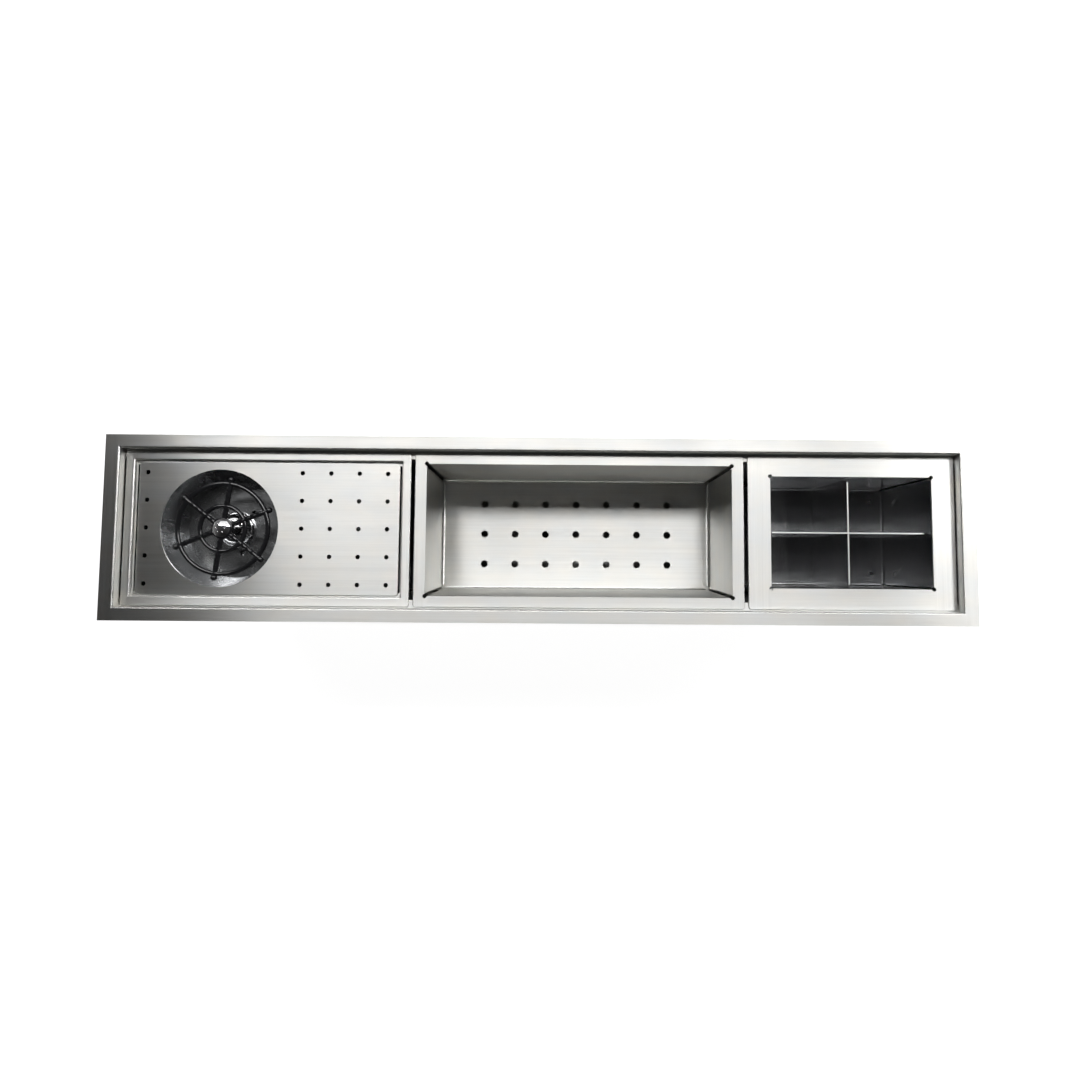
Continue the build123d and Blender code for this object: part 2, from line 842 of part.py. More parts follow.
def nozzle_cap():
    """The chrome nozzle dome in the middle of the star, with a spigot in the stem."""
    rim = hub_top + cap_rim_height
    crown = hub_top + cap_height
    spigot = hub_top - cap_spigot_length
    outline = make_face(
        [
            Line((0, spigot), (cap_spigot_radius, spigot)),
            Line((cap_spigot_radius, spigot), (cap_spigot_radius, hub_top)),
            Line((cap_spigot_radius, hub_top), (cap_radius, hub_top)),
            Line((cap_radius, hub_top), (cap_radius, rim)),
            dome_arc(cap_radius, rim, crown),
            Line((0, crown), (0, spigot)),
        ]
    )
    cap = revolve(Plane.XZ * outline, Axis.Z)
    for angle in around(cap_hole_count):
        x, y = polar(cap_hole_circle, angle)
        cap -= drum(cap_hole_radius, rim, crown + past, x, y)
    return Pos(rinser_x, 0, 0) * cap


def valve_stem():
    """The hollow stem that carries the star down to the piston and the poppet's rod."""
    groove_top = piston_top - seal_place
    groove_bottom = groove_top - seal_section
    groove = seal_radius - seal_section
    piston = guide_bore_radius - stem_gap
    rod_end = poppet_top - poppet_seal_height - poppet_height / 2
    bore_end = piston_bottom + seal_section
    stem = turned(
        [
            (stem_bore_radius, hub_top),
            (stem_radius, hub_top),
            (stem_radius, piston_top),
            (piston, piston_top),
            (piston, groove_top),
            (groove, groove_top),
            (groove, groove_bottom),
            (piston, groove_bottom),
            (piston, piston_bottom),
            (rod_radius, piston_bottom),
            (rod_radius, rod_end),
            (0, rod_end),
            (0, bore_end),
            (stem_bore_radius, bore_end),
        ]
    )
    for angle in around(4):
        x, y = polar((rod_radius + stem_bore_radius) / 2 + port_radius / 2, angle)
        stem -= drum(port_radius / 2, piston_bottom - past, bore_end + past / 2, x, y)
    return Pos(rinser_x, 0, 0) * stem


def sprinkler_parts():
    """Everything that a glass pushes down."""
    groove_top = piston_top - seal_place
    groove = seal_radius - seal_section
    rod_bore = rod_radius + fit_gap
    seal_bottom = poppet_top - poppet_seal_height
    poppet = drum(poppet_radius, poppet_bottom, seal_bottom, rinser_x)
    poppet -= drum(rod_bore, poppet_bottom + poppet_height / 2 - fit_gap, seal_bottom + past, rinser_x)
    return {
        "rinser_star": rinser_star(),
        "nozzle_cap": nozzle_cap(),
        "valve_stem": valve_stem(),
        "stem_seal": ring(
            seal_radius, groove + fit_gap, groove_top - seal_section, groove_top, rinser_x
        ),
        "poppet": poppet,
        "poppet_seal": ring(poppet_radius, rod_bore, seal_bottom, poppet_top, rinser_x),
    }


def frustum(half_x, half_y, z_top, z_bottom, draft_x, draft_y, x):
    """A rectangular block whose sides draw in towards the bottom."""
    top = Pos(x, 0, z_top) * Rectangle(2 * half_x, 2 * half_y)
    bottom = Pos(x, 0, z_bottom) * Rectangle(2 * (half_x - draft_x), 2 * (half_y - draft_y))
    return loft([bottom, top], ruled=True)


def folded_box(x0, x1, rim, depth, draft, fold, seam, relief_margin, floor_holes):
    """A box folded from one sheet: flat rim, walls with open corner seams, and a pierced floor.

    The rim's width and the walls' draft are pairs, for the end walls and for the side walls. The
    relief hole at each corner of the opening is a margin wider than the corner of the sheet.
    """
    x = (x0 + x1) / 2
    half_x = (x1 - x0) / 2 - rim[0]
    half_y = module_y - rim[1]
    floor = rim_top - depth
    sheet = module_sheet
    outer = frustum(half_x + sheet, half_y + sheet, rim_top, floor - sheet, *draft, x)
    bottom = [e for e in outer.edges() if near(e.center().Z, floor - sheet)]
    outer = fillet(bottom, fold + sheet)
    inner = frustum(half_x, half_y, rim_top, floor, *draft, x)
    inner = fillet([e for e in inner.edges() if near(e.center().Z, floor)], fold)
    mouth = slab(x - half_x, x + half_x, -half_y, half_y, rim_top, rim_top + past)
    part = rim_plate(x0, x1) + outer - inner - mouth
    reach_x = draft[0] + fold
    reach_y = draft[1] + fold
    seam_length = 2 * (math.hypot(reach_x, reach_y) + 2 * sheet)
    seam_turn = math.degrees(math.atan2(reach_y, reach_x))
    seam_top = rim_top - sheet
    relief = math.hypot(sheet, sheet) + relief_margin
    for sign_x in (-1, 1):
        for sign_y in (-1, 1):
            corner_x, corner_y = x + sign_x * half_x, sign_y * half_y
            part -= drum(relief, rim_top - past, rim_top + past, corner_x, corner_y)
            slot = Rot(0, 0, seam_turn * sign_x * sign_y) * Box(seam_length, seam, seam_top - floor)
            part -= Pos(corner_x, corner_y, (seam_top + floor) / 2) * slot
    part -= floor_holes
    outer_edges = [
        e
        for e in part.edges()
        if near(e.center().Z, rim_top)
        and (
            near(abs(e.center().Y), module_y)
            or near(e.center().X, x0)
            or near(e.center().X, x1)
        )
    ]
    return fillet(outer_edges, min(rim_edge_round, 0.8 * sheet))


def colander_basket():
    """The long basket whose floor is pierced in rows."""
    x = (colander_x0 + colander_x1) / 2
    floor = rim_top - colander_depth
    flat_x = (colander_x1 - colander_x0) / 2 - colander_rim_end - colander_draft_end - colander_fold
    flat_y = module_y - colander_rim_side - colander_draft_side - colander_fold
    columns = copies_that_fit(2 * (flat_x - colander_land_along), colander_pitch_along)
    rows = copies_that_fit(2 * (flat_y - colander_land_across), colander_pitch_across)
    places = [
        (x + dx, dy)
        for dx in spread(columns, colander_pitch_along)
        for dy in spread(rows, colander_pitch_across)
    ]
    return folded_box(
        colander_x0,
        colander_x1,
        (colander_rim_end, colander_rim_side),
        colander_depth,
        (colander_draft_end, colander_draft_side),
        colander_fold,
        colander_seam,
        colander_relief_margin,
        holes(places, colander_hole_radius, floor - past, floor + past),
    )


def condiment_box():
    """The box with a wide rim and a small drain hole near each corner of its floor."""
    x = (box_x0 + box_x1) / 2
    floor = rim_top - box_depth
    dx = box_length / 2 - box_rim_end - box_hole_inset
    dy = module_y - box_rim_side - box_hole_inset
    places = [(x + i * dx, j * dy) for i in (-1, 1) for j in (-1, 1)]
    return folded_box(
        box_x0,
        box_x1,
        (box_rim_end, box_rim_side),
        box_depth,
        (box_draft_end, box_draft_side),
        box_fold,
        box_seam,
        box_relief_margin,
        holes(places, box_hole_radius, floor - past, floor + past),
    )


def divider_plate(half_length, draft, slot_from_top):
    """One plate of the cross, standing in the XZ plane, with its half slot."""
    top = rim_top - divider_drop
    bottom = rim_top - box_depth + divider_floor_gap
    lean = draft * divider_drop / box_depth
    half_top = half_length - divider_end_gap - lean
    half_bottom = half_length - divider_end_gap - draft
    outline = make_face(
        Polyline(
            (-half_bottom, bottom), (half_bottom, bottom), (half_top, top), (-half_top, top), close=True
        )
    )
    heads = [v for v in outline.vertices() if near(v.Y, top)]
    outline = fillet(heads, divider_corner)
    feet = [v for v in outline.vertices() if near(v.Y, bottom)]
    outline = fillet(feet, box_fold + divider_foot_clearance)
    plate = extrude(Plane.XZ * outline, divider_sheet / 2, both=True)
    middle = (top + bottom) / 2
    slot = divider_sheet / 2 + divider_slot_gap
    low, high = (middle, top + past) if slot_from_top else (bottom - past, middle)
    return plate - slab(-slot, slot, -past, past, low, high)


def divider_parts():
    """The two plates that cross in the condiment box."""
    x = (box_x0 + box_x1) / 2
    long_plate = divider_plate(box_length / 2 - box_rim_end, box_draft_end, True)
    cross_plate = divider_plate(module_y - box_rim_side, box_draft_side, False)
    return {
        "divider_long": Pos(x, 0, 0) * long_plate,
        "divider_cross": Pos(x, 0, 0) * Rot(0, 0, 90) * cross_plate,
    }


def all_parts():
    """Every node of the sink, by name."""
    parts = {}
    parts.update(channel_parts())
    parts["hose_grommet"] = hose_grommet()
    parts.update(drain_parts())
    parts.update(strainer_parts())
    parts["rinser_tray"] = rinser_tray()
    parts["drip_plate"] = drip_plate()
    parts["rinser_bowl"] = rinser_bowl()
    parts.update(valve_parts())
    parts.update(sprinkler_parts())
    parts["colander_basket"] = colander_basket()
    parts["condiment_box"] = condiment_box()
    parts.update(divider_parts())
    return parts


def main():
    os.makedirs("parts", exist_ok=True)
    for name, part in all_parts().items():
        export_step(part, os.path.join("parts", name + ".step"))


if __name__ == "__main__":
    main()
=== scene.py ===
"""Dressed model of an undermount channel sink with a glass rinser, a basket and a condiment box."""

import json
import math

import bmesh
import bpy
from mathutils import Matrix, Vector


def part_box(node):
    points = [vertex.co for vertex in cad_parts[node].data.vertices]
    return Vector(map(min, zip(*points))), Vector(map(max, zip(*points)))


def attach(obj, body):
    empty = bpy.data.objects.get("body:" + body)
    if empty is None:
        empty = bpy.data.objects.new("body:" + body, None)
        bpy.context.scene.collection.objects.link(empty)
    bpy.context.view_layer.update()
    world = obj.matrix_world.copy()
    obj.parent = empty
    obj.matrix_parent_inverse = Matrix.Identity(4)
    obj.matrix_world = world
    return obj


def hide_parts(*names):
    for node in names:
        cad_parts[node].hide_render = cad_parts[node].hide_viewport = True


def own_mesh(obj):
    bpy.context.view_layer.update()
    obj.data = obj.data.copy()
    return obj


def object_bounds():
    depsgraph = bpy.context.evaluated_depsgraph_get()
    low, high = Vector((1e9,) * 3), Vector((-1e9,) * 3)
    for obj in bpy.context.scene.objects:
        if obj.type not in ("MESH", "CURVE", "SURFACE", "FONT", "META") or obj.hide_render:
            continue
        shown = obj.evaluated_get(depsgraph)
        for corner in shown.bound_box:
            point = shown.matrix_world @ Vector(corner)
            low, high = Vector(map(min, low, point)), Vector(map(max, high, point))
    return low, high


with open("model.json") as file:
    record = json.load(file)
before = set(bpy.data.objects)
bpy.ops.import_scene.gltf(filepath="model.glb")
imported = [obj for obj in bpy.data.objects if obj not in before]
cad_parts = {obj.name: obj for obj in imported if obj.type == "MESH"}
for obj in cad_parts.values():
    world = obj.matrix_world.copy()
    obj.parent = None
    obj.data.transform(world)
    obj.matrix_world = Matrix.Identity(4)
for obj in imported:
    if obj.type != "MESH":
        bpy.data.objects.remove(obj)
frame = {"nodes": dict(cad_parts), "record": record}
cad_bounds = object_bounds()

NODES = frame["nodes"]

# Camera: its place in metres, its turns in radians, its lens in pixels of the photograph
PHOTO_SIZE = 1080
CAMERA_PLACE = (0.0091, -0.0300, 0.5940)
CAMERA_TILT = -0.0655
CAMERA_PAN = 0.0038
CAMERA_ROLL = -0.0078
FOCAL_PIXELS = 692.1
PRINCIPAL_POINT = (553.4, 519.5)
SENSOR = 36.0
NEAREST = 0.01
FARTHEST = 100.0

# Floor
FLOOR_SIZE = 30.0
FLOOR_GAP = 0.001
FLOOR_SHADES = ((0.24, 0.24, 0.24), (0.26, 0.26, 0.26))
FLOOR_CLOUD = (1.5, 1.5, 1.5)
FLOOR_ROUGHNESS = 0.9
FLOOR_GLOW = 0.95
GLOW_COLOUR = (1.0, 1.0, 1.0, 1.0)

# Lights: rectangles in one level plane, by their ends along X and Y
LIGHT_HEIGHT = 1.5
LIGHTS = {
    "near_light": {"x": (-1.28, 0.70), "y": (0.62, 0.90), "radiance": 18.0},
    "middle_light": {"x": (0.70, 1.02), "y": (0.62, 0.90), "radiance": 13.0},
    "right_light": {"x": (1.02, 2.00), "y": (0.50, 0.90), "radiance": 17.0},
    "far_light": {"x": (-1.72, 2.20), "y": (0.90, 2.20), "radiance": 1.0},
}

# Surroundings: light from the horizon, the sky and straight up, and the share that comes from in front
HORIZON_LIGHT = 0.30
SKY_LIGHT = 0.05
SKY_HEIGHT = 0.80
ZENITH_LIGHT = 0.04
FRONT_SHARE = 0.12
FRONT_EDGE = -0.7
BACKDROP = 1.0

# Noise: the roughness of its detail, and the middle range of its values that a finish uses
NOISE_ROUGHNESS = 0.55
NOISE_RANGE = (0.3, 0.7)

# Brushed steel: features per metre, along and across the grain or along X, Y and Z
HAIR = (14.0, 1400.0)
STREAK = (3.5, 260.0)
CLOUD = (9.0, 9.0, 9.0)
PATCH = (30.0, 55.0, 55.0)
HAIR_SHARE = 0.45
STREAK_SHADE = 0.08
WARM = (1.0, 0.985, 0.955)
COOL = (0.965, 0.985, 1.0)

# Brushed steel: its roughness, how far that wanders, and how smooth the bends are by their flatness
ANISOTROPY = 1.0
DRAIN_ANISOTROPY = 0.2
STEEL_ROUGHNESS = 0.38
LINE_WEAR = 0.06
CLOUD_WEAR = 0.03
PATCH_WEAR = 0.015
BEND_POLISH = 0.5
BEND_RANGE = (0.80, 0.98)
GRAIN_BUMP = 0.12
GRAIN_DEPTH = 0.0001

# Brushed steel: the direction across the grain, as its X and its Z for 1 in Y
GRAIN_TURN = -0.22
PLATE_TURN = -0.30
STRIP_TURN = 0.1
GRAIN_RISE = 0.35

# Brushed steel: the inside of the rinser's pan and of the condiment box, painted darker as painted shade,
# and smoother
INSIDE_PAINTED_SHADES = ((0.33, 0.335, 0.345), (0.40, 0.40, 0.40))
INSIDE_ROUGHNESS = (0.14, 0.20)

# Regions of a finish and of its painted shade: how far a stated opening stands from its walls, and parts of
# a sheet's thickness
PAN_MARGIN = (0.0010, 0.0026)
WELL_MARGIN = (0.00115, 0.00115)
RIM_SHEET = 0.0014
HALF_SHEET = 0.0006
EDGE_SOFTNESS = 0.0001
BEYOND = 1.0

# Polished metal: features per metre, and how far its roughness wanders
FINE_MARKS = (160.0, 160.0, 60.0)
WAVES = (22.0, 22.0, 22.0)
WAVE_DISTORTION = 0.6
FINE_WEAR = (-0.02, 0.03)
WAVE_WEAR = (-0.01, 0.03)
WAVE_BUMP = 0.03
WAVE_DEPTH = 0.0006

# Moulded plastic and rubber: features per metre, how far its shade and roughness wander, and its skin
SKIN = 900.0
RUBBER_SKIN = 1500.0
MOULD_CLOUD = (35.0, 35.0, 35.0)
MOULD_SHADE = 0.12
MOULD_WEAR = 0.04
SKIN_DEPTH = 0.0001
SKIN_BUMP = 0.15
GLOSSY_BUMP = 0.05
RUBBER_BUMP = 0.25

# Turned metal: features per metre, and how far its shade and roughness wander
RINGS = (60.0, 60.0, 2600.0)
STAIN = (40.0, 40.0, 40.0)
STAIN_DARK = 0.15
STAIN_LIGHT = 0.08
RING_WEAR = 0.07
RING_BUMP = 0.15
RING_DEPTH = 0.0001

# Colours
TROUGH_STEEL = (0.60, 0.595, 0.58)
MODULE_STEEL = (0.64, 0.635, 0.62)
COLANDER_STEEL = (0.61, 0.605, 0.59)
DRAIN_STEEL = (0.58, 0.58, 0.57)
BOWL_STEEL = (0.34, 0.345, 0.35)
CHROME = (0.80, 0.80, 0.81)
BRASS = (0.72, 0.55, 0.28)
SPRING_WIRE = (0.50, 0.50, 0.50)
BLACK_PLASTIC = (0.007, 0.007, 0.008)
GREY_PLASTIC = (0.16, 0.165, 0.17)
WHITE_PLASTIC = (0.72, 0.72, 0.69)
RUBBER = (0.03, 0.03, 0.03)

# Threads: the pitch, how far a ridge stands out, and half its foot and crest as shares of the pitch
THREAD_PITCH = 0.0018
THREAD_PROUD = 0.0004
RIDGE_FOOT = 0.42
RIDGE_CREST = 0.06

# Threads: steps to a turn, the turns in which an end fades, its least height and its way from a nut
THREAD_STEPS = 48
FADE_TURNS = 0.5
LEAST_RIDGE = 0.02
THREAD_CLEAR = 0.0004

# The cylinders that carry threads
CUP_RADIUS = 0.030
NECK_RADIUS = 0.022
NECK_LENGTH = 0.016
SHANK_RADIUS = 0.0135
INLET_LENGTH = 0.014


def camera():
    """The camera at the photograph's viewing angle."""
    data = bpy.data.cameras.new("camera")
    data.sensor_width = SENSOR
    data.lens = FOCAL_PIXELS / PHOTO_SIZE * SENSOR
    data.shift_x = (PHOTO_SIZE / 2 - PRINCIPAL_POINT[0]) / PHOTO_SIZE
    data.shift_y = (PRINCIPAL_POINT[1] - PHOTO_SIZE / 2) / PHOTO_SIZE
    data.clip_start = NEAREST
    data.clip_end = FARTHEST
    rotation = (
        Matrix.Rotation(CAMERA_ROLL, 3, "Z")
        @ Matrix.Rotation(CAMERA_PAN, 3, "Y")
        @ Matrix.Rotation(CAMERA_TILT, 3, "X")
    )
    obj = bpy.data.objects.new("camera", data)
    obj.matrix_world = Matrix.Translation(CAMERA_PLACE) @ rotation.transposed().to_4x4()
    bpy.context.scene.collection.objects.link(obj)
    bpy.context.scene.camera = obj


class Shader:
    """A node material, with short ways to add the nodes that the finishes share."""

    def __init__(self, name):
        self.material = bpy.data.materials.new(name)
        self.material.use_nodes = True
        self.tree = self.material.node_tree
        self.bsdf = self.tree.nodes["Principled BSDF"]
        self.place = self.node("ShaderNodeTexCoord").outputs["Object"]

    def node(self, kind, **settings):
        n = self.tree.nodes.new(kind)
        for key, value in settings.items():
            setattr(n, key, value)
        return n

    def link(self, a, b):
        self.tree.links.new(a, b)

    def set(self, **values):
        """Numbers that are the same all over the surface."""
        for key, value in values.items():
            self.bsdf.inputs[key.replace("_", " ").title()].default_value = value

    def look(self, colour, roughness):
        """Colour and roughness that come from nodes."""
        self.link(colour, self.bsdf.inputs["Base Color"])
        self.link(roughness, self.bsdf.inputs["Roughness"])

    def noise(self, scale, detail, distortion=0.0):
        """Noise with so many features per metre along X, Y and Z."""
        mapping = self.node("ShaderNodeMapping")
        mapping.inputs["Scale"].default_value = scale
        self.link(self.place, mapping.inputs["Vector"])
        tex = self.node("ShaderNodeTexNoise")
        tex.inputs["Scale"].default_value = 1.0
        tex.inputs["Detail"].default_value = detail
        tex.inputs["Roughness"].default_value = NOISE_ROUGHNESS
        tex.inputs["Distortion"].default_value = distortion
        self.link(mapping.outputs["Vector"], tex.inputs["Vector"])
        return tex.outputs["Fac"]

    def grain(self, scale, ends, detail):
        """Noise drawn out along X, and along Y where ends is one."""
        lengthways = self.noise((scale[0], scale[1], scale[1]), detail)
        if ends is None:
            return lengthways
        return self.between(ends, lengthways, self.noise((scale[1], scale[0], scale[1]), detail))

    def spread(self, value, low, high, start=NOISE_RANGE[0], end=NOISE_RANGE[1]):
        """The value's range from start to end, stretched to between low and high."""
        r = self.node("ShaderNodeMapRange")
        r.inputs["From Min"].default_value = start
        r.inputs["From Max"].default_value = end
        r.inputs["To Min"].default_value = low
        r.inputs["To Max"].default_value = high
        self.link(value, r.inputs["Value"])
        return r.outputs["Result"]

    def math(self, operation, a, b):
        m = self.node("ShaderNodeMath", operation=operation)
        for socket, value in zip(m.inputs, (a, b)):
            if isinstance(value, (int, float)):
                socket.default_value = value
            else:
                self.link(value, socket)
        return m.outputs["Value"]

    def flatness(self):
        """One on faces square to an axis, less on bends and rounded edges."""
        split = self.node("ShaderNodeSeparateXYZ")
        self.link(self.node("ShaderNodeTexCoord").outputs["Normal"], split.inputs["Vector"])
        sizes = [self.math("ABSOLUTE", split.outputs[axis], 0.0) for axis in "XYZ"]
        return self.math("MAXIMUM", self.math("MAXIMUM", sizes[0], sizes[1]), sizes[2])

    def region(self, low, high):
        """One inside the box between two corners, zero outside it."""
        split = self.node("ShaderNodeSeparateXYZ")
        self.link(self.place, split.inputs["Vector"])
        value = 1.0
        for axis, a, b in zip("XYZ", low, high):
            place = split.outputs[axis]
            above = self.spread(place, 0.0, 1.0, a - EDGE_SOFTNESS, a + EDGE_SOFTNESS)
            below = self.spread(place, 1.0, 0.0, b - EDGE_SOFTNESS, b + EDGE_SOFTNESS)
            value = self.math("MULTIPLY", value, self.math("MULTIPLY", above, below))
        return value

    def between(self, share, a, b):
        """Part of one value and the rest of another, by a share from 0 to 1."""
        rest = self.math("SUBTRACT", 1.0, share)
        return self.math("ADD", self.math("MULTIPLY", a, rest), self.math("MULTIPLY", b, share))

    def tint(self, value, low, high):
        """A colour between two by a value's middle range."""
        m = self.node("ShaderNodeMix", data_type="RGBA")
        self.link(self.spread(value, 0.0, 1.0), m.inputs["Factor"])
        m.inputs["A"].default_value = (*low, 1)
        m.inputs["B"].default_value = (*high, 1)
        return m.outputs["Result"]

    def multiplied(self, a, b):
        """The product of two colours."""
        m = self.node("ShaderNodeMix", data_type="RGBA", blend_type="MULTIPLY")
        m.inputs["Factor"].default_value = 1.0
        self.link(a, m.inputs["A"])
        self.link(b, m.inputs["B"])
        return m.outputs["Result"]

    def mixed(self, share, low, high):
        """A blend of two colours that come from nodes."""
        m = self.node("ShaderNodeMix", data_type="RGBA")
        for socket, source in (("Factor", share), ("A", low), ("B", high)):
            self.link(source, m.inputs[socket])
        return m.outputs["Result"]

    def bump(self, height, strength, distance):
        b = self.node("ShaderNodeBump")
        b.inputs["Strength"].default_value = strength
        b.inputs["Distance"].default_value = distance
        self.link(height, b.inputs["Height"])
        self.link(b.outputs["Normal"], self.bsdf.inputs["Normal"])

    def slant(self, turn, strip):
        """The direction across the grain, which slants the other way inside the box strip."""
        across = self.node("ShaderNodeCombineXYZ")
        across.inputs["X"].default_value = turn
        if strip is not None:
            self.link(self.between(self.region(*strip), turn, STRIP_TURN), across.inputs["X"])
        across.inputs["Y"].default_value = 1.0
        across.inputs["Z"].default_value = GRAIN_RISE
        self.link(across.outputs["Vector"], self.bsdf.inputs["Tangent"])


def shades(colour, darker, lighter):
    """A colour's dark and light shade."""
    low = tuple(c * (1 - darker) for c in colour)
    high = tuple(min(1.0, c * (1 + lighter)) for c in colour)
    return low, high


def brushed_steel(
    name, colour, anisotropy=ANISOTROPY, turn=GRAIN_TURN, inside=None, middle=None, strip=None
):
    """Stainless steel with a straight grain along the trough, smoother where the sheet is bent.

    Turn is the grain's slight slant. Inside is a box, as two corners, in which the steel is smooth and
    painted darker, as painted shade. Middle is the stretch of X past which the grain runs along Y. Strip
    is a box in which the grain slants the other way, as on a side of a frame that is brushed by itself.
    """
    s = Shader(name)
    s.set(metallic=1.0, anisotropic=anisotropy)
    ends = None
    if middle is not None:
        first, last = cad_bounds
        stretch = s.region((middle[0], first[1], first[2] - BEYOND), (middle[1], last[1], BEYOND))
        ends = s.math("SUBTRACT", 1.0, stretch)
    hair = s.grain(HAIR, ends, detail=4.0)
    streak = s.grain(STREAK, ends, detail=3.0)
    cloud = s.noise(CLOUD, detail=4.0)
    patch = s.noise(PATCH, detail=3.0)
    lines = s.between(HAIR_SHARE, streak, hair)
    base = s.tint(lines, *shades(colour, STREAK_SHADE, STREAK_SHADE))
    base = s.multiplied(base, s.tint(patch, WARM, COOL))
    brushed = s.spread(lines, STEEL_ROUGHNESS - LINE_WEAR, STEEL_ROUGHNESS + LINE_WEAR)
    wear = s.math("ADD", s.spread(cloud, -CLOUD_WEAR, CLOUD_WEAR), s.spread(patch, -PATCH_WEAR, PATCH_WEAR))
    bends = s.spread(s.flatness(), BEND_POLISH, 1.0, *BEND_RANGE)
    rough = s.math("MULTIPLY", s.math("ADD", brushed, wear), bends)
    # Painted shade: inside the box the colour is painted darker, and the steel is smoother there
    if inside is not None:
        shaded_smooth_share = s.region(*inside)
        base = s.mixed(shaded_smooth_share, base, s.tint(cloud, *INSIDE_PAINTED_SHADES))
        rough = s.between(shaded_smooth_share, rough, s.spread(cloud, *INSIDE_ROUGHNESS))
    s.look(base, rough)
    s.bump(hair, GRAIN_BUMP, GRAIN_DEPTH)
    s.slant(turn, strip)
    return s.material


def polished(name, colour, rough, marks):
    """Smooth drawn or plated metal with faint marks."""
    s = Shader(name)
    s.set(metallic=1.0)
    fine = s.noise(FINE_MARKS, detail=2.0)
    waves = s.noise(WAVES, detail=2.0, distortion=WAVE_DISTORTION)
    base = s.tint(waves, *shades(colour, marks, marks))
    wear = s.spread(fine, rough + FINE_WEAR[0], rough + FINE_WEAR[1])
    s.look(base, s.math("ADD", wear, s.spread(waves, *WAVE_WEAR)))
    s.bump(waves, WAVE_BUMP, WAVE_DEPTH)
    return s.material


def moulded(name, colour, rough, grain=SKIN, bump=SKIN_BUMP):
    """Moulded plastic or rubber with a fine skin."""
    s = Shader(name)
    skin = s.noise((grain, grain, grain), detail=2.0)
    cloud = s.noise(MOULD_CLOUD, detail=4.0)
    base = s.tint(cloud, *shades(colour, MOULD_SHADE, MOULD_SHADE))
    wear = s.spread(skin, rough - MOULD_WEAR, rough + MOULD_WEAR)
    s.look(base, s.math("ADD", wear, s.spread(cloud, -MOULD_WEAR, MOULD_WEAR)))
    s.bump(skin, bump, SKIN_DEPTH)
    return s.material


def turned(name, colour, rough):
    """Turned metal with fine rings round its axis."""
    s = Shader(name)
    s.set(metallic=1.0)
    rings = s.noise(RINGS, detail=3.0)
    stain = s.noise(STAIN, detail=3.0)
    base = s.tint(stain, *shades(colour, STAIN_DARK, STAIN_LIGHT))
    s.look(base, s.spread(rings, rough - RING_WEAR, rough + RING_WEAR))
    s.bump(rings, RING_BUMP, RING_DEPTH)
    return s.material


def dress(material, *names):
    """Gives CAD nodes a finish."""
    for name in names:
        slots = NODES[name].data.materials
        slots.clear()
        slots.append(material)


def hollow(start, margin=(0.0, 0.0)):
    """The box round every stated opening whose name begins so, widened by a margin along X and Y."""
    boxes = [o["box_m"] for o in frame["record"]["physics"]["openings"] if o["name"].startswith(start)]
    low = [min(box[0][k] for box in boxes) for k in range(3)]
    high = [max(box[1][k] for box in boxes) for k in range(3)]
    low = [low[0] - margin[0], low[1] - margin[1], low[2]]
    high = [high[0] + margin[0], high[1] + margin[1], high[2]]
    return low, high


def along(box):
    """A box's stretch of X."""
    return box[0][0], box[1][0]


def dress_sheets():
    """The finishes of the trough, the modules in it and the dividers."""
    trough = brushed_steel("trough_brushed", TROUGH_STEEL, middle=along(hollow("channel_mouth")))
    dress(trough, "channel_body", "end_wall_left", "end_wall_right")

    # The rinser's pan is painted darker inside as painted shade, and is smoother there
    pan = hollow("pan_", PAN_MARGIN)
    pan[0][2] -= HALF_SHEET
    plate_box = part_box("drip_plate")
    front_rim = [list(corner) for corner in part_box("rinser_tray")]
    front_rim[1][1] = plate_box[0][1] - RIM_SHEET
    tray = brushed_steel("tray_brushed", MODULE_STEEL, inside=pan, middle=along(plate_box), strip=front_rim)
    dress(tray, "rinser_tray")
    dress(brushed_steel("plate_brushed", MODULE_STEEL, turn=PLATE_TURN), "drip_plate")

    basket = hollow("colander_inside")
    dress(brushed_steel("colander_brushed", COLANDER_STEEL, middle=along(basket)), "colander_basket")

    # The box's wells and the dividers below their top edges are painted darker as painted shade, and are
    # smoother there
    well = hollow("compartment_", WELL_MARGIN)
    well[0][2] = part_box("condiment_box")[0][2] + HALF_SHEET
    well[1][2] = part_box("condiment_box")[1][2] - RIM_SHEET
    dress(brushed_steel("box_brushed", MODULE_STEEL, inside=well, middle=along(well)), "condiment_box")

    below_edges = [list(corner) for corner in well]
    below_edges[1][2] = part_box("divider_long")[1][2] - HALF_SHEET
    divider = brushed_steel("divider_brushed", MODULE_STEEL, inside=below_edges)
    dress(divider, "divider_long", "divider_cross")


